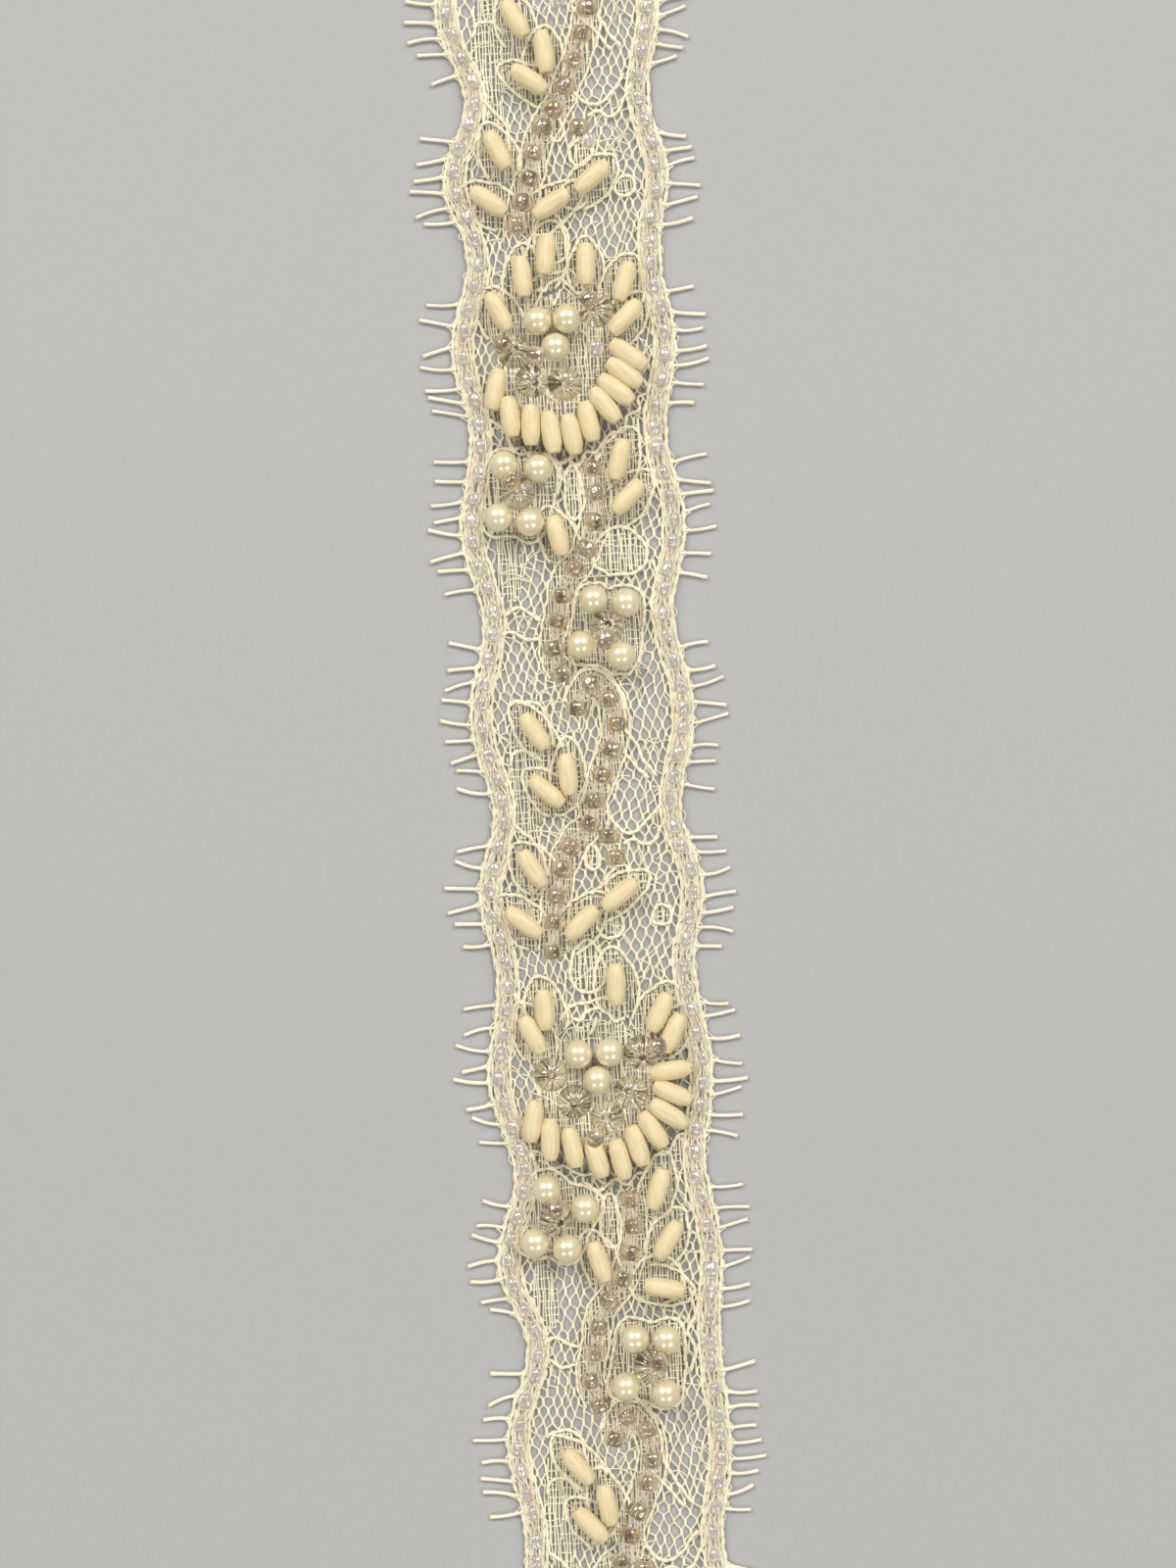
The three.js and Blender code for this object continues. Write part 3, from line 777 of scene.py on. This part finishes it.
def edge_band(edge, material):
    """The corded edge: plied cords, finer wandering threads among them, loops, and threads on the beads."""
    rng = draws("edge_" + edge)
    soup = Soup()
    for inset, ply in EDGE_CORDS:
        add_plied(soup, edge_path(edge, inset), EDGE_CORD_HEIGHT, ply, rng, reach=0.17, twist=3.1)
    for inset in EDGE_FINE:
        path = wandering(rng, edge_path(edge, inset, step=0.6), span=1.7, reach=0.32)
        path = path[np.abs(path[:, 1]) < LENGTH / 2]
        height = EDGE_FINE_HEIGHT + drift(rng, path[:, 1], span=1.1, reach=0.25)
        soup.lay(path, height, EDGE_FINE_RADIUS)
    add_loops(soup, edge, rng)
    add_grip(soup, edge_string(edge), EDGE_SEED, rng)
    return soup.piece("edge_cords_" + edge, material, "lace")


def strands(edge):
    """Each lash's root and tip along the edge and its length, as the part's source spaces them."""
    use = 1 if edge == "left" else 2
    rows, root, count = [], STRAND_PITCH - LENGTH / 2, 0
    while root < LENGTH / 2 - STRAND_PITCH:
        last = rows[-1][1] if rows else -LENGTH
        tip = max(root + STRAND_LEAN * uneven(count, use), last + STRAND_WIDTH + TIP_CLEAR)
        length = STRAND_LENGTH + STRAND_LENGTH_VARIES * uneven(count, use + 2)
        if np.abs(HOLLOWS[:, 0] - root).min() >= HOLLOW_BARE:
            rows.append((root, tip, length))
        root += STRAND_PITCH + STRAND_PITCH_VARIES * uneven(count, use + 4)
        count += 1
    return rows


def eyelashes(edge, material):
    """Cut thread ends that stand out from the edge, each held by two thin legs at its root."""
    rng = draws("lash_" + edge)
    soup = Soup()
    side = SIDES[edge]
    share = np.linspace(0, 1, 11)
    for root, tip, length in strands(edge):
        out = -LASH_SINK + (length + LASH_SINK) * share
        bow = swing(rng, LASH_BOW) * np.sin(np.pi * share)
        along = root + (tip - root) * share**LASH_CURL + bow
        path = np.c_[side * (half_width(root, edge) + out), along]
        size = rng.uniform(0.85, 1.08)
        radius = size * np.interp(share, *LASH_RADII)
        soup.lay(path, LASH_ROOT_HEIGHT - LASH_DROP * share, radius, LASH_SIDES)
        for leg in (-1, 1):
            spread = rng.uniform(0.8, 1.5)
            along = root + leg * spread * (1 - share) ** 2
            away = -LEG_SINK + LEG_LENGTH * share
            path = np.c_[side * (half_width(along, edge) + away), along][::2]
            soup.lay(path, LEG_HEIGHT, LEG_RADIUS)
    return soup.piece("eyelash_fringe_" + edge, material, "lace", ["fringe_" + edge])


# Beads

def ring_profile(seed, cuts=9):
    """A seed bead's section, over its rim and back along its hole, whose ends are a little sunk."""
    hole, half = seed["hole"], seed["length"] / 2
    mouth, sunk = hole * 1.15, half * 0.9
    angle = np.linspace(-np.pi / 2, np.pi / 2, cuts)
    bulge = np.maximum(np.cos(angle), 0.0) ** SEED_BARREL
    outer = [(mouth + (seed["radius"] - mouth) * b, half * math.sin(a)) for a, b in zip(angle, bulge)]
    return [(hole, -sunk), *outer, (hole, sunk)]


def pearl_profile(cuts=22):
    """A ball's section, with a bore a little narrower than its mouths."""
    bore, sunk = 0.9 * PEARL_HOLE, 1.2
    mouth = math.asin(PEARL_HOLE / PEARL_RADIUS)
    angle = np.linspace(mouth, np.pi - mouth, cuts)
    outer = [(PEARL_RADIUS * math.sin(a), -PEARL_RADIUS * math.cos(a)) for a in angle]
    return [*outer, (bore, sunk), (bore, -sunk)]


def crystal_profile(cuts=17):
    """A round bead's section, over its rim and back along its hole, whose ends are a little sunk."""
    mouth = math.acos(1.4 * CRYSTAL_HOLE / CRYSTAL_RADIUS)
    angle = np.linspace(-mouth, mouth, cuts)
    outer = [(CRYSTAL_RADIUS * math.cos(a), CRYSTAL_HALF_HEIGHT * math.sin(a)) for a in angle]
    sunk = 0.93 * outer[-1][1]
    return [(CRYSTAL_HOLE, -sunk), *outer, (CRYSTAL_HOLE, sunk)]


def oat_profile():
    """A barrel with bevelled, blunt, drilled ends."""
    bore, sunk = 0.85 * OAT_HOLE, 2.5
    low = [(radius, -height) for radius, height in OAT_SECTION]
    return [*low, *OAT_SECTION[::-1], (bore, sunk), (bore, -sunk)]


def bead_marks(shape, index, far=17.0, cycles=(7, 11, 13)):
    """A bead's own coordinates, moved far from every other bead's so that no two have the same grain."""
    return shape + far * (index % np.array(cycles))


def lined_and_shaded(shape, hole, slack=1.12):
    """The share of the hole's darker colour at each point, its own colour and painted shade in the hole: one
    on the hole's wall, none on the bead's outside.
    """
    return (np.hypot(shape[:, 0], shape[:, 2]) < slack * hole).astype(float)


def radial(shape, change=0.3):
    """Coordinates that hardly change along a radius, for streaks that run out from a bead's hole: the
    crystal's tint and painted reflections.
    """
    turn = np.arctan2(shape[:, 2], shape[:, 0])
    out = change * (np.hypot(shape[:, 0], shape[:, 2]) + shape[:, 1])
    return np.c_[CRYSTAL_TINT_AND_REFLECTION_STREAKS * np.cos(turn), out, CRYSTAL_TINT_AND_REFLECTION_STREAKS * np.sin(turn)]


def unshadowed(glass):
    """Light passes through a clear bead, so the bead casts no shadow on the lace under it."""
    glass.visible_shadow = False


def add_hold(soup, across, along, turn, reach, height):
    """The sewing thread that leaves both mouths of a bead's hole and dives into the lace."""
    out = reach + np.array(HOLD_STEPS)
    rise = (height, height, 0.72 * height, HOLD_FOOT)
    for way in (-1, 1):
        path = np.c_[across + way * math.cos(turn) * out, along + way * math.sin(turn) * out, rise]
        soup.add(*tube(smooth(path, cuts=3), SEWING_RADIUS))


def add_knot(soup, low, high, twist=0.3):
    """The sewing thread that comes up an upright hole and ends in a knot inside it."""
    turn = np.linspace(0, 2 * np.pi, 9)
    ring = KNOT_RADIUS * np.c_[np.cos(turn), np.sin(turn), twist * np.sin(2 * turn)]
    soup.add(*tube(high + ring, SEWING_RADIUS, CORD_SIDES))
    soup.add(*tube(evenly([low, high], step=0.8), SEWING_RADIUS, CORD_SIDES))


def oat_beads(material, threads):
    rng = draws("oats")
    soup = Soup()
    shape, faces = turned(oat_profile(), BEAD_SIDES["oat"])
    height = BEAD_FLOOR + OAT_RADIUS
    for index, (across, along, turn) in enumerate(oat_rows(FAN, CROWN)):
        heading = math.radians(turn + swing(rng, 3))
        size = rng.uniform(0.96, 1.0, 3)
        tilt, roll = swing(rng, 0.03), rng.uniform(0, 2 * np.pi)
        points = placed(shape * size, across, along, height, heading, tilt, roll)
        soup.add(points, faces, bead_marks(shape, index))
        add_hold(threads, across, along, heading, OAT_HALF_LENGTH, height)
    nodes = [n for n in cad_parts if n.startswith(("petals_", "spray_", "fork_", "bud_"))]
    soup.piece("oat_beads", material, "oat", nodes)


def middle(node):
    return np.mean(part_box(node), axis=0) / MM


def numbered(kind):
    return sorted(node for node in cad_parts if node.startswith(kind + "_"))


def pearl_beads(material, threads):
    rng = draws("pearls")
    soup = Soup()
    shape, faces = turned(pearl_profile(), BEAD_SIDES["pearl"])
    for index, node in enumerate(numbered("pearl")):
        across, along, height = middle(node)
        heading, tilt = rng.uniform(0, np.pi), swing(rng, 0.2)
        points = placed(shape, across, along, height, heading, tilt)
        soup.add(points, faces, bead_marks(shape, index))
        add_hold(threads, across, along, heading, PEARL_RADIUS - HOLD_SINK, height)
    soup.piece("pearl_beads", material, "pearl", numbered("pearl"))


def crystal_beads(material, threads):
    """Fluted round glass with the hole near upright, so that its flutes spread from the hole."""
    rng = draws("crystals")
    soup = Soup()
    shape, faces = turned(crystal_profile(), 4 * CRYSTAL_FLUTES, CRYSTAL_FLUTES, FLUTE_DEPTH)
    ends = CRYSTAL_HALF_HEIGHT * np.array([(0.0, KNOT_ROOT, 0.0), (0.0, KNOT_REACH, 0.0)])
    for index, node in enumerate(numbered("crystal")):
        across, along, height = middle(node)
        heading, roll = rng.uniform(0, 2 * np.pi, 2)
        lean = math.pi / 2 - rng.uniform(*CRYSTAL_LEAN)
        points = placed(shape, across, along, height, heading, lean, roll)
        # The hole's wall is marked for its darker colour: its own colour and painted shade in the hole.
        soup.add(points, faces, bead_marks(radial(shape), index), lined_and_shaded(shape, CRYSTAL_HOLE))
        add_knot(threads, *placed(ends, across, along, height, heading, lean))
    unshadowed(soup.piece("crystal_beads", material, "crystal", numbered("crystal")))


def string_places(path, seed, near=0.5):
    """Each bead's place on a string and the way its hole points, from one end to the other."""
    whole = run_along(path)[-1]
    at = np.linspace(0.0, whole, int(round(whole / seed["pitch"])) + 1)
    at[1:-1] += [SPACING_VARIES * uneven(count, len(at)) for count in range(1, len(at) - 1)]
    heading = np.arctan2(*(points_at(path, at + near) - points_at(path, at - near)).T[::-1])
    return [(*spot, turn) for spot, turn in zip(points_at(path, at), heading)]


def add_seed(soup, seed, place, turn, rng):
    """One seed bead, a little smaller or larger and less straight than the next."""
    shape, faces = turned(ring_profile(seed), BEAD_SIDES["seed"])
    shape *= SEED_PLUMP
    stray = swing(rng, SEED_STRAY, 2)
    lean, roll = swing(rng, 0.15), rng.uniform(0, 2 * np.pi)
    size = rng.uniform(0.93, 1.03)
    points = placed(shape * size, place[0] + stray[0], place[1] + stray[1], place[2], turn, lean, roll)
    # The hole's wall is marked for its darker colour: its own colour and painted shade in the hole.
    lining_and_shade = lined_and_shaded(shape, SEED_PLUMP * seed["hole"])
    soup.add(points, faces, bead_marks(shape, soup.count // len(shape)), lining_and_shade)


def add_bundle(threads, start, end, height, rng):
    """Slack strands of sewing thread from one bead of a string to the next."""
    share = np.linspace(0, 1, 7)
    arch = np.sin(np.pi * share)
    line = start + share[:, None] * (end - start)
    beside = sideways(line)
    for spread in BUNDLE_SPREAD:
        sway = (spread + swing(rng, 0.12)) * arch
        sag = BUNDLE_SAG * rng.uniform(0.6, 1.1) * arch ** 2
        threads.lay(line + sway[:, None] * beside, height - sag, SEWING_RADIUS)


def seed_string(soup, threads, paths, seed, rng, jitter):
    """Seed beads along strings, with the strands of thread that run from each to the next."""
    height = BEAD_FLOOR + seed["radius"]
    for path in paths:
        places = string_places(path, seed)
        for across, along, turn in places:
            turn += swing(rng, jitter)
            add_seed(soup, seed, (across, along, height), turn, rng)
        for here, ahead in zip(places, places[1:]):
            add_bundle(threads, np.array(here[:2]), np.array(ahead[:2]), height, rng)


def add_singles(soup, threads, chart, seed, rng):
    """Seed beads that are sewn down one by one."""
    height = BEAD_FLOOR + seed["radius"]
    for index, spots in chart.items():
        for across, from_rosette in spots:
            along = from_rosette + ROSETTES[index]
            turn = rng.uniform(1.2, 1.7)
            add_seed(soup, seed, (across, along, height), turn, rng)
            add_hold(threads, across, along, turn, seed["length"] / 2 - 2 * HOLD_SINK, height)


def add_stoppers(soup, threads, rng):
    """The small seeds on the crystals' shoulders, each with its thread back to the crystal's hole."""
    for node, offset in STOPPERS.items():
        across, along, height = middle(node)
        turn = math.atan2(offset[1], offset[0])
        place = (across + offset[0], along + offset[1], height + STOPPER_RISE)
        add_seed(soup, STOPPER_SEED, place, turn + math.pi / 2, rng)
        add_bundle(threads, np.array((across, along)), np.array(place[:2]), height + STOPPER_RISE, rng)


def edge_seeds(material, threads):
    rng = draws("edge_seeds")
    soup = Soup()
    seed_string(soup, threads, [edge_string(edge) for edge in SIDES], EDGE_SEED, rng, jitter=0.25)
    add_singles(soup, threads, LOOSE, EDGE_SEED, rng)
    unshadowed(soup.piece("edge_seed_beads", material, "edge_seed", numbered("edge_beads")))


def vine_seeds(material, threads):
    rng = draws("vine_seeds")
    soup = Soup()
    seed_string(soup, threads, vine_paths(), VINE_SEED, rng, jitter=0.2)
    add_singles(soup, threads, TWIG, VINE_SEED, rng)
    add_stoppers(soup, threads, rng)
    for path in vine_paths():
        add_grip(threads, path, VINE_SEED, rng)
    unshadowed(soup.piece("vine_seed_beads", material, "vine_seed", numbered("vine")))


# Materials

def preset(node, **constants):
    """A shader node with these constants set on its sockets."""
    for socket, value in constants.items():
        node.inputs[socket.replace("_", " ")].default_value = value
    return node


def shaded(name, **constants):
    """A new material: itself, its node tree and its Principled shader."""
    made = bpy.data.materials.new(name)
    made.use_nodes = True
    tree = made.node_tree
    return made, tree, preset(tree.nodes["Principled BSDF"], **constants)


def noise(tree, source, scale, detail=3.0, stretch=None):
    """Noise over a vector source; stretch is a scale for each axis."""
    texture = preset(tree.nodes.new("ShaderNodeTexNoise"), Scale=scale, Detail=detail)
    if stretch:
        mapping = preset(tree.nodes.new("ShaderNodeMapping"), Scale=stretch)
        tree.links.new(source, mapping.inputs["Vector"])
        source = mapping.outputs["Vector"]
    tree.links.new(source, texture.inputs["Vector"])
    return texture.outputs["Fac"]


def ramp(tree, source, *stops):
    """A colour ramp of (place, colour) stops."""
    node = tree.nodes.new("ShaderNodeValToRGB")
    elements = node.color_ramp.elements
    while len(elements) < len(stops):
        elements.new(0.5)
    for element, (place, colour) in zip(elements, stops):
        element.position = place
        element.color = (*colour, 1.0)
    tree.links.new(source, node.inputs["Fac"])
    return node.outputs["Color"]


def tint(tree, shader, source, *stops):
    tree.links.new(ramp(tree, source, *stops), shader.inputs["Base Color"])


def bump(tree, shader, source, strength, distance, sockets=("Normal",)):
    node = preset(tree.nodes.new("ShaderNodeBump"), Strength=strength, Distance=distance)
    tree.links.new(source, node.inputs["Height"])
    for socket in sockets:
        tree.links.new(node.outputs["Normal"], shader.inputs[socket])


def place_source(tree):
    return tree.nodes.new("ShaderNodeTexCoord").outputs["Object"]


def attribute(tree, name):
    node = tree.nodes.new("ShaderNodeAttribute")
    node.attribute_name = name
    return node


def bead_source(tree):
    return attribute(tree, "bead").outputs["Vector"]


def thread_material(name, pale, deep):
    """Ivory thread: uneven tone along it and a fine fibrous surface."""
    made, tree, shader = shaded(
        name, Roughness=0.62, Sheen_Weight=0.25, Sheen_Roughness=0.4, Specular_IOR_Level=0.35,
    )
    where = place_source(tree)
    tint(tree, shader, noise(tree, where, scale=420.0), (0.3, deep), (0.65, pale))
    fibres = noise(tree, where, scale=9000.0, detail=2.0)
    bump(tree, shader, fibres, strength=0.4, distance=0.00006)
    return made


def oat_material():
    """Cream beads with a faint grain along them and a tone of their own."""
    made, tree, shader = shaded("oat_cream", Roughness=0.5, Specular_IOR_Level=0.4)
    where = bead_source(tree)
    grain = noise(tree, where, scale=2.6, detail=4.0, stretch=(1.0, 0.12, 1.0))
    stops = (0.25, (0.69, 0.56, 0.32)), (0.5, (0.79, 0.68, 0.43)), (0.8, (0.85, 0.76, 0.53))
    tint(tree, shader, grain, *stops)
    ridges = noise(tree, where, scale=5.0, stretch=(1.0, 0.2, 1.0))
    bump(tree, shader, ridges, strength=0.25, distance=0.0001)
    return made


def pearl_material():
    """Cream pearl: a lustrous body under a bright clear coat."""
    made, tree, shader = shaded(
        "pearl_cream", Roughness=0.34, Metallic=0.35, Coat_Weight=1.0, Coat_Roughness=0.07, Coat_IOR=1.8,
        Sheen_Weight=0.35, Sheen_Roughness=0.3, Sheen_Tint=(1.0, 0.94, 0.76, 1.0),
    )
    body = noise(tree, bead_source(tree), scale=0.35, detail=2.0)
    tint(tree, shader, body, (0.3, (0.84, 0.74, 0.49)), (0.7, (0.91, 0.82, 0.58)))
    return made


# Each kind of bead glass: how clear and how wavy it is, the colour of its hole (its own colour darkened with
# painted shade), and the stops of its tint (for the crystal partly painted reflections).
GLASS = {
    # Clear, with golden and brown streaks: a golden tint and painted reflections, light and dark.
    "crystal_clear": (0.74, 0.1, (0.10, 0.06, 0.06), [
        (0.38, (0.07, 0.04, 0.02)), (0.44, (0.54, 0.47, 0.29)), (0.5, (0.96, 0.94, 0.80)),
        (0.56, (0.82, 0.76, 0.55)), (0.61, (0.22, 0.14, 0.06)), (0.67, (0.82, 0.71, 0.44)),
    ]),
    # Clear, and faintly pink in places.
    "seed_clear": (0.7, 0.5, (0.40, 0.34, 0.33), [(0.34, (0.76, 0.69, 0.67)), (0.5, (0.89, 0.86, 0.80))]),
    # Taupe, from brown through smoky grey to gold, round a dark brown hole: a brown hole wall darkened with
    # painted shade.
    "seed_taupe": (0.7, 0.6, (0.15, 0.09, 0.06), [
        (0.36, (0.24, 0.17, 0.10)), (0.46, (0.54, 0.46, 0.33)), (0.54, (0.78, 0.71, 0.57)),
        (0.63, (0.80, 0.62, 0.31)), (0.72, (0.36, 0.26, 0.15)),
    ]),
}


def glass_material(name):
    """Bead glass with streaks in its tint, in the crystal partly painted reflections, and a hole wall darker
    with its own colour and painted shade.
    """
    clear, wavy, lining_and_shade, stops = GLASS[name]
    made, tree, shader = shaded(
        name, Roughness=0.03, Transmission_Weight=clear, IOR=1.6,
        Coat_Weight=1.0, Coat_Roughness=0.01, Coat_IOR=1.6,
    )
    where = bead_source(tree)
    waves = noise(tree, where, scale=0.9, detail=1.5)
    bump(tree, shader, waves, strength=wavy, distance=0.00045, sockets=("Normal", "Coat Normal"))
    # Streaks in the tint; in the crystal they are partly painted reflections, light and dark.
    streaks = noise(tree, where, scale=0.8, detail=4.0, stretch=(1.0, 0.3, 1.0))
    mix = tree.nodes.new("ShaderNodeMix")
    mix.data_type = "RGBA"
    # The hole's wall takes a darker colour: its own colour and painted shade in the hole.
    tree.links.new(attribute(tree, "lining_and_shade").outputs["Fac"], mix.inputs["Factor"])
    tree.links.new(ramp(tree, streaks, *stops), mix.inputs["A"])
    mix.inputs["B"].default_value = (*lining_and_shade, 1.0)
    tree.links.new(mix.outputs["Result"], shader.inputs["Base Color"])
    return made


# Stage, in metres

DAYLIGHT = (1.0, 0.965, 0.9)
WALL_LIGHT = 0.54  # the studio's glow at the height of its floor
CEILING_LIGHT = 0.12  # and straight above
FLOOR_RADIUS = 1.5
FLOOR_CORNERS = 96
# Place, size and power: a bright pair beyond the edging's far end and a weaker pair at its near end.
SOFTBOXES = {
    "key_left": ((-0.87, 1.14, 1.5), 1.02, 20.7),
    "key_right": ((0.87, 1.14, 1.5), 1.02, 20.7),
    "fill_left": ((-0.78, -1.08, 1.5), 0.72, 5.4),
    "fill_right": ((0.9, -1.08, 1.5), 0.81, 8.6),
}
CAMERA_HEIGHT = 0.42
FRAME_HEIGHT = 0.224  # the length of edging that the photograph shows
SENSOR_WIDTH = 36.0
CAMERA_TURN = -2.9


def floor():
    mesh = bpy.data.meshes.new("floor")
    turns = [2 * math.pi * corner / FLOOR_CORNERS for corner in range(FLOOR_CORNERS)]
    rim = [(FLOOR_RADIUS * math.cos(turn), FLOOR_RADIUS * math.sin(turn), 0.0) for turn in turns]
    mesh.from_pydata(rim, [], [range(FLOOR_CORNERS)])
    made, tree, shader = shaded("floor_pale", Roughness=0.9, Specular_IOR_Level=0.1)
    fine = noise(tree, place_source(tree), scale=900.0, detail=2.0)
    tint(tree, shader, fine, (0.3, (0.44, 0.45, 0.47)), (0.7, (0.455, 0.465, 0.485)))
    mesh.materials.append(made)
    linked("floor", mesh)


def lighting():
    """Round softboxes in a studio whose glow fades from its walls to its ceiling."""
    for name, (place, size, power) in SOFTBOXES.items():
        light = bpy.data.lights.new(name, "AREA")
        light.shape = "DISK"
        light.size = size
        light.energy = power
        light.color = DAYLIGHT
        lamp = linked(name, light)
        lamp.location = place
        lamp.rotation_euler = (-Vector(place)).to_track_quat("-Z", "Y").to_euler()
    world = bpy.data.worlds.new("studio")
    world.use_nodes = True
    tree = world.node_tree
    height = tree.nodes.new("ShaderNodeSeparateXYZ")
    tree.links.new(tree.nodes.new("ShaderNodeTexCoord").outputs["Generated"], height.inputs["Vector"])
    walls, ceiling = (tuple(level * part for part in DAYLIGHT) for level in (WALL_LIGHT, CEILING_LIGHT))
    shade = ramp(tree, height.outputs["Z"], (0.0, walls), (1.0, ceiling))
    tree.links.new(shade, tree.nodes["Background"].inputs["Color"])
    bpy.context.scene.world = world
    bpy.context.scene.view_settings.view_transform = "Standard"


def camera():
    """Straight above the middle, turned so that the edging leans as in the photograph."""
    lens = bpy.data.cameras.new("camera")
    lens.sensor_width = SENSOR_WIDTH
    lens.lens = SENSOR_WIDTH * CAMERA_HEIGHT / FRAME_HEIGHT
    seen = linked("camera", lens)
    seen.location = (0, 0, CAMERA_HEIGHT)
    seen.rotation_euler = (0, 0, math.radians(CAMERA_TURN))
    bpy.context.scene.camera = seen


camera()
lighting()
floor()

IVORY = thread_material("thread_ivory", (0.98, 0.93, 0.76), (0.90, 0.83, 0.64))
LASH = thread_material("thread_lash", (0.97, 0.92, 0.78), (0.89, 0.82, 0.65))
SEWING = thread_material("thread_sewing", (0.78, 0.70, 0.61), (0.62, 0.54, 0.45))

cloth, cords = outlines()
ground = Ground(cloth)
lace = Soup()
add_net(lace, ground)
add_clothwork(lace, ground)
lace_ground = lace.piece("lace_ground", IVORY, "lace", ["lace_band"])
on_lace = [cordonnet(cords, ground, IVORY)]
for edge in SIDES:
    on_lace += [edge_band(edge, IVORY), eyelashes(edge, LASH)]

holding = Soup()
oat_beads(oat_material(), holding)
pearl_beads(pearl_material(), holding)
crystal_beads(glass_material("crystal_clear"), holding)
edge_seeds(glass_material("seed_clear"), holding)
vine_seeds(glass_material("seed_taupe"), holding)
on_lace.append(holding.piece("sewing_threads", SEWING, "lace"))
